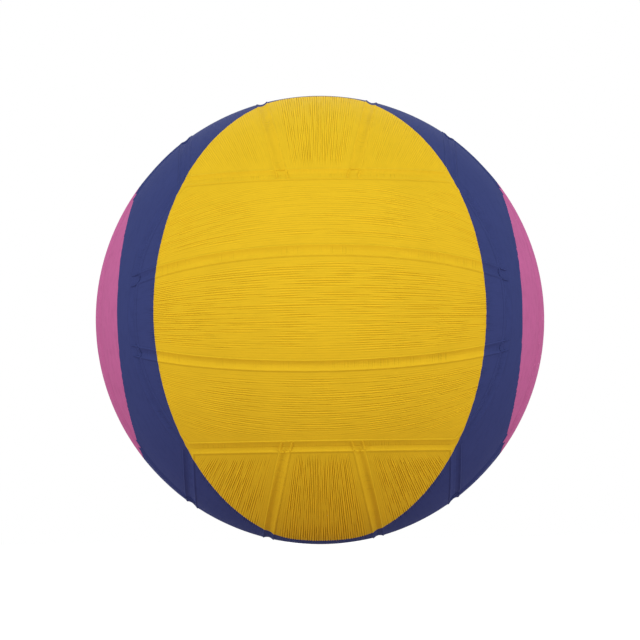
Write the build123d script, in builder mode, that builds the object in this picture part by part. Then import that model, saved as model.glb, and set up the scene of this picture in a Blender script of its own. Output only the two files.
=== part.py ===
"""Water polo ball: a wound rubber carcass under a moulded cover of eighteen strips in three colours.

The ball is centred on the origin, +Z up, with its front on -Y and its valve at the back, on +Y.
Six faces of three strips each close the cover. The strips of the front and back run along X, those of the
top and bottom along Y and those of the left and right along Z, so each face's strips end at a long side of
the next face. Seams are plane cuts, and eight corners of three faces lie on the diagonals of the frame.
"""
import math
import os

from build123d import *

os.makedirs("parts", exist_ok=True)

# Driving dimensions: lengths in millimetres, angles in degrees seen from the centre of the ball
ball_diameter = 210.0
field_thickness = 1.4
channel_width = 4.4
channel_depth = 0.7
coat_thickness = 0.4
winding_thickness = 0.5
bladder_thickness = 0.7
bond_line = 0.05

face_half_angle = 35.5
middle_strip_half_angle = 14.2
middle_seam_tilt = 13.2

yellow_half_angle = 46.0
yellow_end_half_angle = 10.3
pole_band_half_angle = 9.8
yellow_corner_radius = 18.0
pink_half_angle_across = 27.9
pink_half_angle_upright = 37.5

plug_head_radius = 4.2
plug_head_recess = 0.3
plug_stem_radius = 2.9
plug_stem_length = 20.0
plug_groove_depth = 0.35
plug_groove_width = 1.6
plug_groove_count = 4
plug_end_chamfer = 0.6
needle_bore_radius = 0.9
needle_lip_thickness = 1.2
running_clearance = 0.05
cover_hole_clearance = 0.3
housing_seat_depth = 1.4
housing_mouth_wall = 1.2
housing_lip_length = 1.5
flange_radius = 14.0
flange_thickness = 1.0

# Radii of the layers, from the outside in
ball_radius = ball_diameter / 2
cover_inner_radius = ball_radius - field_thickness
channel_floor_radius = ball_radius - channel_depth
coat_radius = cover_inner_radius - bond_line
winding_radius = coat_radius - coat_thickness - bond_line
bladder_radius = winding_radius - winding_thickness - bond_line
air_radius = bladder_radius - bladder_thickness

# Valve radii and levels along +Y
bore_radius = plug_stem_radius + running_clearance
seat_radius = plug_head_radius + running_clearance
neck_radius = seat_radius + housing_mouth_wall
cover_hole_radius = plug_head_radius + cover_hole_clearance
carcass_hole_radius = neck_radius + bond_line
mouth_level = math.sqrt(cover_inner_radius**2 - neck_radius**2) - bond_line
seat_level = mouth_level - housing_seat_depth
plug_end_level = seat_level - plug_stem_length
neck_end_level = plug_end_level + housing_lip_length

# A long side of a face is the plane arc through two corners and the face's half angle
corner_cosine = 1 / math.sqrt(3)
side_rise = math.sin(math.radians(face_half_angle)) - corner_cosine
side_run = math.cos(math.radians(face_half_angle)) - corner_cosine
side_seam_tilt = math.degrees(math.atan(side_rise / side_run))

# Each face: its outward normal and the direction of its strips
faces = {
    "front": Plane((0, 0, 0), x_dir=(1, 0, 0), z_dir=(0, -1, 0)),
    "back": Plane((0, 0, 0), x_dir=(-1, 0, 0), z_dir=(0, 1, 0)),
    "top": Plane((0, 0, 0), x_dir=(0, -1, 0), z_dir=(0, 0, 1)),
    "bottom": Plane((0, 0, 0), x_dir=(0, 1, 0), z_dir=(0, 0, -1)),
    "left": Plane((0, 0, 0), x_dir=(0, 0, 1), z_dir=(-1, 0, 0)),
    "right": Plane((0, 0, 0), x_dir=(0, 0, -1), z_dir=(1, 0, 0)),
}
# Names of a face's three strips in the order of its plane's +Y direction
strip_names = {
    "front": ("lower", "middle", "upper"),
    "back": ("lower", "middle", "upper"),
    "top": ("left", "middle", "right"),
    "bottom": ("left", "middle", "right"),
    "left": ("front", "middle", "rear"),
    "right": ("front", "middle", "rear"),
}


def seam_reach(half_angle, tilt):
    """Distance of a seam plane from the ball's centre."""
    return ball_radius * math.sin(math.radians(half_angle - tilt))


def across_plane(side, half_angle, tilt, inset):
    """Seam plane on the +Y (1) or -Y (-1) side of a strip, facing out of it."""
    lean = math.radians(tilt)
    normal = Vector(0, side * math.cos(lean), -math.sin(lean))
    return Plane(normal * (seam_reach(half_angle, tilt) - inset), z_dir=normal)


def inner_plane(side, inset):
    """Seam plane between a side strip and the middle strip, facing out of the side strip on that side."""
    lean = math.radians(middle_seam_tilt)
    normal = Vector(0, -side * math.cos(lean), math.sin(lean))
    reach = seam_reach(middle_strip_half_angle, middle_seam_tilt)
    return Plane(normal * (-reach - inset), z_dir=normal)


def end_plane(side, inset):
    """Seam plane at the +X (1) or -X (-1) end of a strip: the long side of the next face."""
    lean = math.radians(side_seam_tilt)
    normal = Vector(side * math.sin(lean), 0, -math.cos(lean))
    return Plane(normal * (-seam_reach(face_half_angle, side_seam_tilt) - inset), z_dir=normal)


def strip_planes(place, inset):
    """The four seam planes round the strip at place -1, 0 or 1 of a face, moved in by inset."""
    ends = [end_plane(1, inset), end_plane(-1, inset)]
    if place == 0:
        sides = [across_plane(s, middle_strip_half_angle, middle_seam_tilt, inset) for s in (1, -1)]
    else:
        sides = [across_plane(place, face_half_angle, side_seam_tilt, inset), inner_plane(place, inset)]
    return ends + sides


def shell_patch(outer_radius, planes):
    """The cover's shell up to outer_radius, cut by planes that face out of it."""
    with BuildPart() as patch:
        Sphere(outer_radius)
        Sphere(cover_inner_radius, mode=Mode.SUBTRACT)
        for plane in planes:
            split(bisect_by=plane, keep=Keep.BOTTOM)
    return patch.part


def strip_blank(place):
    """A strip on +Z with its length along X: a thick field with a thin margin, half of each channel."""
    floor = shell_patch(channel_floor_radius, strip_planes(place, bond_line / 2))
    field = shell_patch(ball_radius, strip_planes(place, channel_width / 2))
    with BuildPart() as blank:
        add(floor)
        add(field)
    return blank.part


def yellow_zone(side, grow):
    """Tool for the yellow of the front (-1) or back (1): a wedge along Z whose end is a rounded band edge."""
    end_x = ball_radius * math.sin(math.radians(yellow_end_half_angle))
    end_y = ball_radius * math.sin(math.radians(pole_band_half_angle))
    wide_x = ball_radius * math.sin(math.radians(yellow_half_angle))
    wide_y = ball_radius * math.cos(math.radians(yellow_half_angle))
    slope = (wide_x - end_x) / (wide_y - end_y)
    far_y = ball_diameter
    far_x = end_x + slope * (far_y - end_y)
    with BuildPart() as zone:
        with BuildSketch():
            with BuildLine():
                Polyline(
                    (end_x, side * end_y),
                    (far_x, side * far_y),
                    (-far_x, side * far_y),
                    (-end_x, side * end_y),
                    close=True,
                )
            make_face()
            band_corners = vertices().sort_by(Axis.Y)[::side][:2]
            fillet(band_corners, yellow_corner_radius)
            offset(amount=grow)
        extrude(amount=ball_diameter, both=True)
    return zone.part


def pink_zone(side, grow):
    """Tool for the pink of the left (-1) or right (1) face: an oval prism along X."""
    half_width = ball_radius * math.sin(math.radians(pink_half_angle_across))
    half_height = ball_radius * math.sin(math.radians(pink_half_angle_upright))
    with BuildPart() as zone:
        with BuildSketch(Plane.YZ):
            Ellipse(half_width + grow, half_height + grow)
        extrude(amount=side * ball_diameter)
    return zone.part


def finish(piece, name):
    """Labels a finished piece and writes its file."""
    piece.part.label = name
    export_step(piece.part, f"parts/{name}.step")


def coloured_piece(name, strip, zone, valve_hole=False):
    """The part of a strip inside a yellow or pink zone."""
    with BuildPart() as piece:
        add(strip)
        add(zone, mode=Mode.INTERSECT)
        if valve_hole:
            with BuildSketch(Plane.XZ):
                Circle(cover_hole_radius)
            extrude(amount=-ball_diameter, mode=Mode.SUBTRACT)
    finish(piece, name)


def blue_piece(name, strip, zones, half=None, keep=Keep.BOTH):
    """The part of a strip outside the zones, or its share on one side of the plane half."""
    with BuildPart() as piece:
        add(strip)
        for zone in zones:
            add(zone, mode=Mode.SUBTRACT)
        if half:
            split(bisect_by=half, keep=keep)
    finish(piece, name)


# Colour tools: a piece stops half a bond line short of the colour edge on either side
gap = bond_line / 2
yellow_inside = {side: yellow_zone(side, -gap) for side in (-1, 1)}
yellow_outside = {side: yellow_zone(side, gap) for side in (-1, 1)}
pink_inside = {side: pink_zone(side, -gap) for side in (-1, 1)}
pink_outside = {side: pink_zone(side, gap) for side in (-1, 1)}

# Cover strips, face by face
blanks = {place: strip_blank(place) for place in (-1, 0, 1)}
for face, plane in faces.items():
    for place, strip_name in zip((-1, 0, 1), strip_names[face]):
        strip = blanks[place].moved(plane.location)
        name = f"{face}_{strip_name}"
        if face in ("front", "back"):
            side = -1 if face == "front" else 1
            has_valve = name == "back_middle"
            coloured_piece(f"{name}_yellow", strip, yellow_inside[side], has_valve)
            blue_piece(f"{name}_blue_left", strip, [yellow_outside[side]], Plane.YZ, Keep.BOTTOM)
            blue_piece(f"{name}_blue_right", strip, [yellow_outside[side]], Plane.YZ, Keep.TOP)
        elif face in ("top", "bottom"):
            coloured_piece(f"{name}_yellow_front", strip, yellow_inside[-1])
            coloured_piece(f"{name}_yellow_rear", strip, yellow_inside[1])
            blue_piece(f"{name}_blue", strip, [yellow_outside[-1], yellow_outside[1]])
        else:
            side = -1 if face == "left" else 1
            coloured_piece(f"{name}_pink", strip, pink_inside[side])
            if strip_name == "middle":
                blue_piece(f"{name}_blue_upper", strip, [pink_outside[side]], Plane.XY, Keep.TOP)
                blue_piece(f"{name}_blue_lower", strip, [pink_outside[side]], Plane.XY, Keep.BOTTOM)
            else:
                blue_piece(f"{name}_blue", strip, [pink_outside[side]])

# Carcass layers, each open at the back where the valve neck passes
carcass_layers = {
    "carcass_coat": (coat_radius, coat_thickness),
    "winding": (winding_radius, winding_thickness),
    "bladder": (bladder_radius, bladder_thickness),
}
for name, (outer_radius, thickness) in carcass_layers.items():
    with BuildPart() as layer:
        Sphere(outer_radius)
        Sphere(outer_radius - thickness, mode=Mode.SUBTRACT)
        with BuildSketch(Plane.XZ):
            Circle(carcass_hole_radius)
        extrude(amount=-ball_diameter, mode=Mode.SUBTRACT)
    finish(layer, name)

# Valve housing: a flange that follows the inside of the bladder, and a neck with a seat for the plug's head
with BuildPart() as valve_housing:
    Sphere(air_radius - bond_line)
    Sphere(air_radius - bond_line - flange_thickness, mode=Mode.SUBTRACT)
    with BuildSketch(Plane.XZ):
        Circle(flange_radius)
    extrude(amount=-ball_diameter, mode=Mode.INTERSECT)
    with BuildSketch(Plane.XZ.offset(-neck_end_level)):
        Circle(neck_radius)
    extrude(amount=-(mouth_level - neck_end_level))
    with BuildSketch(Plane.XZ):
        Circle(bore_radius)
    extrude(amount=-ball_diameter, mode=Mode.SUBTRACT)
    with BuildSketch(Plane.XZ.offset(-seat_level)):
        Circle(seat_radius)
    extrude(amount=-ball_diameter, mode=Mode.SUBTRACT)
finish(valve_housing, "valve_housing")

# Valve plug: a domed head flush with the cover, a stem with sealing ribs between grooves, a blind needle bore
groove_pitch = plug_stem_length / (plug_groove_count + 1)
head_top_level = ball_radius - plug_head_recess
with BuildPart() as valve_plug:
    with BuildSketch(Plane.XZ.offset(-seat_level)):
        Circle(plug_head_radius)
    extrude(amount=-ball_radius)
    Sphere(head_top_level, mode=Mode.INTERSECT)
    with BuildSketch(Plane.XZ.offset(-plug_end_level)):
        Circle(plug_stem_radius)
    extrude(amount=-plug_stem_length)
    chamfer(edges().filter_by(GeomType.CIRCLE).sort_by(Axis.Y)[0], plug_end_chamfer)
    for i in range(plug_groove_count):
        groove_level = plug_end_level + (i + 1) * groove_pitch
        with BuildSketch(Plane.XZ.offset(-groove_level)):
            Circle(plug_stem_radius)
            Circle(plug_stem_radius - plug_groove_depth, mode=Mode.SUBTRACT)
        extrude(amount=plug_groove_width / 2, both=True, mode=Mode.SUBTRACT)
    with BuildSketch(Plane.XZ.offset(-plug_end_level - needle_lip_thickness)):
        Circle(needle_bore_radius)
    extrude(amount=-ball_diameter, mode=Mode.SUBTRACT)
finish(valve_plug, "valve_plug")
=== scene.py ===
"""Looks of a water polo ball: moulded cover strips in three colours, a wound carcass and a valve plug."""
import math

import bpy
import numpy as np
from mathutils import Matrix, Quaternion, Vector


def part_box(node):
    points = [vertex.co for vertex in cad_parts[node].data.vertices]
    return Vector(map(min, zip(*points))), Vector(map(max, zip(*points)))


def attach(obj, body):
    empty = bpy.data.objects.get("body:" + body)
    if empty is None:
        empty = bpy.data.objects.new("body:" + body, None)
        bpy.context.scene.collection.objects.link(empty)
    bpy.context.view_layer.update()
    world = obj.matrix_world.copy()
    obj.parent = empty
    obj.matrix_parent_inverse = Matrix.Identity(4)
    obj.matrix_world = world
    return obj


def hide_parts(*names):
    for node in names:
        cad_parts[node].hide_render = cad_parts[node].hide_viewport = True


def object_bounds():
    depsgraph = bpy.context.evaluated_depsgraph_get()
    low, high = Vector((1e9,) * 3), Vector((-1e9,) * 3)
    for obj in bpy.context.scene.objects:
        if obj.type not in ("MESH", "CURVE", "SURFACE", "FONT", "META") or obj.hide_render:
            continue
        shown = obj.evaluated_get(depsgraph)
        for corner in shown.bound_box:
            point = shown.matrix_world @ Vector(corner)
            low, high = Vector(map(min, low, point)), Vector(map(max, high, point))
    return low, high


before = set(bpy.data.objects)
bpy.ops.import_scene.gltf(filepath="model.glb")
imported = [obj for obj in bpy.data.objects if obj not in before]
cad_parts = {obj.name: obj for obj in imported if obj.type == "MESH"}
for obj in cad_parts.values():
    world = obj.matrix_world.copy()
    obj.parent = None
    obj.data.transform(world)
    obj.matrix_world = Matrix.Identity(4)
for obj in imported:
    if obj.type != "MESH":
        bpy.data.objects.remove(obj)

bl_info = {
    "name": "Water polo ball",
    "version": (1, 0, 0),
    "blender": (4, 5, 0),
    "location": "3D View > Sidebar > Ball",
    "description": "Builds the cover, carcass, valve and studio of a water polo ball on its packed frame",
    "category": "Object",
}

MM = 0.001
CAD_BOX = [list(corner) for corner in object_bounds()]

# Sizes that the frame gives
BALL_RADIUS = (CAD_BOX[1][2] - CAD_BOX[0][2]) / 2
COAT_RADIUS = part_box("carcass_coat")[1].z
MOUTH_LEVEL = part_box("valve_housing")[1].y
PLUG_LOW, PLUG_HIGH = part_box("valve_plug")

# Each face of the cover: directions along its strips, across them and out of the ball
FACES = {
    "front": ((1, 0, 0), (0, 0, 1), (0, -1, 0)),
    "back": ((-1, 0, 0), (0, 0, 1), (0, 1, 0)),
    "top": ((0, -1, 0), (1, 0, 0), (0, 0, 1)),
    "bottom": ((0, 1, 0), (1, 0, 0), (0, 0, -1)),
    "left": ((0, 0, 1), (0, 1, 0), (-1, 0, 0)),
    "right": ((0, 0, -1), (0, 1, 0), (1, 0, 0)),
}
# Places of a face's strips across it, and their names
PLACES = (-1, 0, 1)
STRIPS = {
    "front": ("lower", "middle", "upper"),
    "back": ("lower", "middle", "upper"),
    "top": ("left", "middle", "right"),
    "bottom": ("left", "middle", "right"),
    "left": ("front", "middle", "rear"),
    "right": ("front", "middle", "rear"),
}
# Face and place of the strip that the valve opens through
VALVE_STRIP = ("back", 0)
# Direction out of the ball in a face's own frame
OUTWARD = np.array([0.0, 0.0, 1.0])

# Depth of the grooves on each face's strips, as shares of the groove depth
GROOVING = {
    "front": (0.85, 0.85, 0.7),
    "back": (0.85, 0.85, 0.7),
    "top": (0.5, 0.8, 0.5),
    "bottom": (1.2, 1.35, 1.2),
    "left": (0.35, 0.5, 0.35),
    "right": (0.35, 0.5, 0.35),
}
# Noise that breaks the grooves up: lengths in strokes, and shares of the depth
SWELL_STROKES = 3
WANDER_STROKES = 2
STROKE_CONTRAST = 3.0
STROKE_GAP = 0.15
SWELL_SHARE = 0.35
PATCH_CONTRAST = 1.6
PATCH_SHARE = 0.4

# Mesh spacing
ROWS_PER_GROOVE = 3
COLUMN_STEP = 2.8 * MM
STATION_STEP = 3.0 * MM
UNDERSIDE_STEP = 6.0 * MM
LACING_GAP = 0.35 * MM
CUT_SNAP = 0.004 * MM
CORNER_SNAP = 2.0 * MM
SMOOTH_ANGLE = math.radians(60)
LIP_POINTS = 5
RIM_STEPS = 5
ROW_ROUNDS = 6
PLUG_SEGMENTS = 64
PLUG_DOME_POINTS = 6
PLUG_GROOVE_POINTS = 9
PLUG_MOUTH_STEPS = 5
PLUG_EDGE_STEPS = 6
# Points across half a channel floor, as shares of the way from the seam to the crest
FLOOR_SHARES = (0.93, 0.8, 0.6, 0.4, 0.2)

# Ribs where channels meet: places of their points as shares of half a channel, and shares of the rib radius
RIB_ACROSS_END = np.linspace(0.9, -0.9, 8)
RIB_ACROSS_MOUTH = np.linspace(0.95, -0.02, 6)
RIB_TURNS = np.linspace(0, math.pi, 6)
RIB_HEIGHT = 1.5
RIB_SINK = 0.35
RIB_END_SIZE = 0.4
RIB_FOOT_HEIGHT = 0.1

# Waves that a colour's edge wanders by, as (length, direction), and their height
EDGE_WAVES = ((2.3 * MM, (1, 2, 3)), (3.9 * MM, (3, -1, 2)), (7.1 * MM, (-2, 3, 1)))
EDGE_WAVE_HEIGHT = 0.05 * MM

# Brightness of each cover colour as painted highlight on ridges, as painted shade in grooves, and in its own
# darker flecks, as shares of that colour
COVER_PAINTED_LIGHT_AND_FLECKS = {"yellow": (1.18, 0.64, 0.98), "blue": (1.02, 0.95, 0.95), "pink": (1.2, 0.6, 0.93)}
# Depths under the field, from ridge to groove, as shares of the groove depth
GROOVE_SPAN = (-0.5, 1.0)
# Strength of the painted shade that darkens the creases beside each face's channels and the feet of ribs
CREASE_PAINTED_SHADE = {"front": 1.0, "back": 1.0, "top": 0.3, "bottom": 1.0, "left": 1.0, "right": 1.0}
RIB_FOOT_PAINTED_SHADE = 1.5
PAINTED_CREASE_SHADE_SPAN = (0.0, 2.0)
PAINTED_CREASE_SHADE_LEVELS = (1.0, 0.7)
# Patterns of the cover rubber, and the painted shade of the ribs across channel floors: stretch along a
# strip, noise values that count, and brightness that they give
STROKE_STRETCH = (0.12, 1.0, 1.0)
STROKE_SHADE = (0.98, 1.02)
STROKE_ROUGHNESS = (0.68, 0.8)
FLECK_STRETCH = (0.4, 1.0, 1.0)
FLECK_SPAN = (0.5, 0.66)
TICK_SPAN = (0.54, 0.68)
TICK_GROUP_SPAN = (0.42, 0.6)
# The ticks' darkening is painted shade of fine ribs across the channel floors
TICK_SHADE = (1.0, 0.9)
# Distance from a seam's ends, in channel widths, at which ticks start
TICK_START = 0.5
# Values that most noise lies between, and the whole range of a share
NOISE_SPAN = (0.3, 0.7)
WHOLE = (0.0, 1.0)

# Turns of the crossing windings of thread, and how far each leans in turning
THREAD_TURNS = (0.5, -0.7)
THREAD_LEAN = 0.4
THREAD_ROUGHNESS = (0.75, 0.5)

# Tones of the studio
WHITE = (1.0, 1.0, 1.0, 1.0)
FLOOR_GREY = (0.35, 0.35, 0.35, 1.0)

# Input and output places of a colour mix node
MIX_FACTOR, MIX_A, MIX_B, MIX_RESULT = 0, 6, 7, 2


def srgb(red, green, blue):
    """Linear colour of an sRGB colour given from 0 to 255."""
    shares = (channel / 255 for channel in (red, green, blue))
    return tuple(s / 12.92 if s <= 0.04045 else ((s + 0.055) / 1.055) ** 2.4 for s in shares)


def length(name, description, default):
    """A length property in metres."""
    return bpy.props.FloatProperty(
        name=name, description=description, default=default, precision=5, subtype="DISTANCE", unit="LENGTH"
    )


def angle(name, description, degrees):
    """An angle property, given in degrees."""
    return bpy.props.FloatProperty(
        name=name, description=description, default=math.radians(degrees), subtype="ANGLE", unit="ROTATION"
    )


def colour(name, description, default):
    """A colour property."""
    return bpy.props.FloatVectorProperty(
        name=name, description=description, default=default, size=3, min=0.0, max=1.0, subtype="COLOR"
    )


def level(name, description, default):
    """A property for a strength of light."""
    return bpy.props.FloatProperty(name=name, description=description, default=default, min=0.0)


class BallCoverSizes(bpy.types.PropertyGroup):
    """Sizes of the moulded cover."""

    ball_radius: length("Ball radius", "Centre of the ball to the crest of a lip", BALL_RADIUS)
    bond_line: length("Bond line", "Gap between neighbouring pieces", 0.05 * MM)
    channel_width: length("Channel width", "Width of a channel from crest to crest", 4.6 * MM)
    channel_depth: length("Channel depth", "Crest of a lip to the floor of its channel", 0.8 * MM)
    lip_height: length("Lip height", "Rise of a lip over the field beside it", 0.3 * MM)
    lip_run: length("Lip run", "Width of the slope from a lip down to the field", 0.65 * MM)
    seam_dip: length("Seam dip", "How far the strips' edges sink into each other at a seam", 0.03 * MM)
    rib_radius: length("Rib radius", "Radius of the ribs where channels meet", 0.44 * MM)
    face_half_angle: angle("Face half angle", "Middle of a face to its long side", 35.5)
    middle_strip_half_angle: angle("Middle strip half angle", "Middle of a face to its middle seams", 14.2)
    middle_seam_tilt: angle("Middle seam tilt", "Lean of the plane that holds a middle seam", 13.2)
    yellow_half_angle: angle("Yellow half angle", "Widest reach of the yellow from the front", 46.0)
    yellow_end_half_angle: angle("Yellow end half angle", "Reach of the yellow at its end", 10.3)
    pole_band_half_angle: angle("Pole band half angle", "Half of the blue band between two yellow ends", 9.8)
    yellow_corner_radius: length("Yellow corner radius", "Rounding of the yellow at its ends", 18 * MM)
    pink_half_angle_across: angle("Pink half angle across", "Reach of the pink oval forwards and back", 27.9)
    pink_half_angle_upright: angle("Pink half angle upright", "Reach of the pink oval up and down", 37.5)
    yellow_inset: length("Yellow inset", "How far the yellow stops short of its plane", 0.9 * MM)
    colour_bleed: length("Colour bleed", "How far a colour runs on along a channel floor", 0.7 * MM)
    groove_pitch: length("Groove pitch", "Spacing of the grip grooves", 1.08 * MM)
    groove_depth: length("Groove depth", "Depth of the deepest grooves under the field", 0.26 * MM)
    groove_stroke: length("Groove stroke", "Length over which a groove deepens and breaks off", 8 * MM)
    groove_wander: length("Groove wander", "How far a groove strays from its line", 0.14 * MM)
    groove_fade: length("Groove fade", "Width over which grooves die out by a seam or on the blue", 5 * MM)
    patch_size: length("Patch size", "Size of areas that are grooved more or less strongly", 18 * MM)


class BallValveSizes(bpy.types.PropertyGroup):
    """Sizes of the valve plug and of the cover round it."""

    hole_clearance: length("Hole clearance", "Gap between the plug's head and the cover", 0.3 * MM)
    rim_radius: length("Rim radius", "Rounding of the hole in the cover", 0.5 * MM)
    pad_radius: length("Pad radius", "Radius of the smooth pad round the valve", 9 * MM)
    seat_depth: length("Seat depth", "Mouth of the housing to the seat of the head", 1.4 * MM)
    head_rounding: length("Head rounding", "Rounding of the head's upper edge", 0.5 * MM)
    stem_radius: length("Stem radius", "Radius of the plug's ribbed stem", 2.9 * MM)
    groove_depth: length("Groove depth", "Depth of the grooves between the stem's ribs", 0.35 * MM)
    groove_width: length("Groove width", "Width of the grooves between the stem's ribs", 1.6 * MM)
    groove_count: bpy.props.IntProperty(name="Groove count", description="Grooves round the stem", default=4)
    end_chamfer: length("End chamfer", "Chamfer at the inner end of the stem", 0.6 * MM)
    needle_radius: length("Needle radius", "Radius of the bore for an inflating needle", 0.9 * MM)
    needle_mouth: length("Needle mouth", "Widening of the bore at the head", 0.5 * MM)
    needle_lip: length("Needle lip", "Rubber left uncut at the end of the bore", 1.2 * MM)


class BallColours(bpy.types.PropertyGroup):
    """Colours of the pieces."""

    yellow: colour("Yellow", "Yellow cover rubber", srgb(229, 190, 38))
    blue: colour("Blue", "Blue cover rubber", srgb(58, 68, 119))
    pink: colour("Pink", "Pink cover rubber", srgb(195, 105, 156))
    coat: colour("Coat", "Rubber coat over the winding", srgb(48, 47, 46))
    thread: colour("Thread", "Wound nylon thread", srgb(222, 216, 203))
    bladder: colour("Bladder", "Butyl bladder", srgb(36, 36, 38))
    housing: colour("Housing", "Butyl valve housing", srgb(44, 44, 46))
    plug: colour("Plug", "Rubber valve plug", srgb(58, 58, 60))


class BallStudio(bpy.types.PropertyGroup):
    """Camera, floor and light."""

    camera_distance: length("Camera distance", "Camera to the centre of the ball", 18 * BALL_RADIUS)
    camera_drop: angle("Camera drop", "Angle of the camera below the ball's equator", 3.1)
    camera_roll: angle("Camera roll", "Turn of the camera about its line of sight", 0.9)
    camera_near: length("Camera near", "Nearest distance that the camera sees", 10 * MM)
    lens: bpy.props.FloatProperty(name="Lens", description="Focal length", default=227.3, unit="CAMERA")
    floor_size: length("Floor size", "Side of the square floor", 12.0)
    floor_tone: colour("Floor tone", "Colour of the light that the floor throws back", (0.26, 0.208, 0.22))
    floor_glow: level("Floor glow", "Light of the floor's tone that the ball does not shade", 1.25)
    floor_lift: level("Floor lift", "Light added to the floor as the camera sees it", 0.82)
    dome_level: level("Dome level", "Strength of the light all round", 0.605)
    key_level: level("Key level", "Light of the front lamp on a surface that faces it", 0.27)
    fill_level: level("Fill level", "Light of each side lamp on a surface that faces it", 0.24)
    back_level: level("Back level", "Light of the rear lamp on a surface that faces it", 0.28)
    lamp_distance: length("Lamp distance", "Lamps to the centre of the ball", 2.4)
    lamp_size: length("Lamp size", "Side of the square front and rear lamps", 1.2)
    fill_size: length("Fill size", "Side of the square side lamps", 0.3)
    lamp_height: angle("Lamp height", "Angle of the front and rear lamps above the ball's equator", 40)
    fill_height: angle("Fill height", "Angle of the side lamps above the ball's equator", 2)
    fill_turn: angle("Fill turn", "Angle of the side lamps from the front", 62)


# Shapes


def smooth_step(share):
    """Eases from 0 to 1 as share goes from 0 to 1."""
    share = np.clip(share, 0.0, 1.0)
    return share * share * (3.0 - 2.0 * share)


def unit(vector):
    """The vector at length 1."""
    return vector / np.linalg.norm(vector)


def face_axes(face):
    """Directions of a face as rows, by which points of its frame are taken to the ball's: points @ axes."""
    return np.array(FACES[face], float)


def face_tilt(cover):
    """Lean of the planes that bound a face, which meet at the ball's eight corners."""
    corner = 1 / math.sqrt(3)
    reach = cover.face_half_angle
    return math.atan((math.sin(reach) - corner) / (math.cos(reach) - corner))


def strip_sides(cover, place):
    """Latitude at mid strip and lean of the planes of a strip's lower and upper long sides."""
    middle = np.array([cover.middle_strip_half_angle, cover.middle_seam_tilt])
    outer = np.array([cover.face_half_angle, face_tilt(cover)])
    return {-1: (-outer, -middle), 0: (-middle, middle), 1: (middle, outer)}[place]


def seam_planes(cover, place):
    """Planes round a strip as (normal out of the strip, reach): +u end, +v side, -u end, -v side."""
    def plane(facing, latitude, lean):
        normal = np.array([0.0, math.cos(lean), -math.sin(lean)])
        return facing * normal, facing * cover.ball_radius * math.sin(latitude - lean)

    def end(side):
        normal = np.array([side * math.sin(tilt), 0.0, -math.cos(tilt)])
        return normal, -cover.ball_radius * math.sin(cover.face_half_angle - tilt)

    tilt = face_tilt(cover)
    lower, upper = strip_sides(cover, place)
    return [end(1), plane(1, *upper), end(-1), plane(-1, *lower)]


def seam_distances(planes, points):
    """Distance of each point inside each seam plane."""
    return np.stack([reach - points @ normal for normal, reach in planes])


def corner_point(planes, index, offset, next_offset, radius):
    """Where plane index and the next one, moved in by their offsets, meet the sphere of that radius."""
    normal, reach = planes[index]
    next_normal, next_reach = planes[(index + 1) % 4]
    cosine = normal @ next_normal
    shares = np.linalg.solve([[1, cosine], [cosine, 1]], [reach - offset, next_reach - next_offset])
    foot = shares[0] * normal + shares[1] * next_normal
    along = unit(np.cross(normal, next_normal))
    rise = math.sqrt(radius**2 - foot @ foot)
    towards_u = 1 if index in (0, 3) else -1
    return foot + along * rise * math.copysign(1, along[0] * towards_u)


def plane_axes(normal):
    """Directions in a seam plane: out of the ball at the middle of the seam, and on round the strip."""
    outward = unit(OUTWARD - (OUTWARD @ normal) * normal)
    return outward, np.cross(outward, normal)


def seam_stations(planes, offset, radius, step):
    """Angles of the points along each seam, between the corners of the loop at that offset."""
    stations = []
    for index, (normal, _) in enumerate(planes):
        outward, onward = plane_axes(normal)
        ends = []
        for corner in ((index - 1) % 4, index):
            point = corner_point(planes, corner, offset, offset, radius)
            ends.append(math.atan2(point @ onward, point @ outward))
        count = max(2, math.ceil((ends[1] - ends[0]) * radius / step))
        stations.append(np.linspace(ends[0], ends[1], count + 1)[1:-1])
    return stations


def seam_loop(planes, stations, offset, radius):
    """Points round a strip at an offset inside its seams, on the sphere of that radius."""
    loop = []
    for index, (normal, reach) in enumerate(planes):
        outward, onward = plane_axes(normal)
        inset = reach - offset
        ring = math.sqrt(radius**2 - inset**2)
        loop.append(corner_point(planes, (index - 1) % 4, offset, offset, radius))
        for turn in stations[index]:
            loop.append(normal * inset + ring * (math.cos(turn) * outward + math.sin(turn) * onward))
    return np.array(loop)


def close_corners(loop):
    """Moves a loop's points that lie by the ball's eight corners onto them, so that three strips meet."""
    corners = np.sign(loop) * np.linalg.norm(loop, axis=1, keepdims=True) / math.sqrt(3)
    near = np.linalg.norm(loop - corners, axis=1) < CORNER_SNAP
    loop[near] = corners[near]


def channel_fall(cover, offsets):
    """Depth of a channel's round floor under its crests, at offsets from the seam."""
    return cover.channel_depth * np.clip(1 - (2 * offsets / cover.channel_width) ** 2, 0.0, 1.0)


def lip_profile(cover):
    """Offsets from the seam and depths under the lip's crest, from the field's edge to just past the seam."""
    crest = cover.channel_width / 2
    slope = crest + cover.lip_run * np.linspace(1, 0, LIP_POINTS)
    floor = crest * np.array(FLOOR_SHARES)
    offsets = np.concatenate([slope, floor, [-cover.seam_dip]])
    depths = channel_fall(cover, offsets) + cover.lip_height * smooth_step((offsets - crest) / cover.lip_run)
    depths[-1] += cover.seam_dip
    return offsets, depths


def line_noise(generator, lines, positions, spacing):
    """Smooth noise from 0 to 1 along each of a number of lines, at positions along them."""
    start = positions.min() - spacing
    knots = generator.random((lines, int((positions.max() - start) / spacing) + 3))
    place = (positions - start) / spacing
    index = place.astype(int)
    share = smooth_step(place - index)
    return knots[:, index] * (1 - share) + knots[:, index + 1] * share


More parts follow.
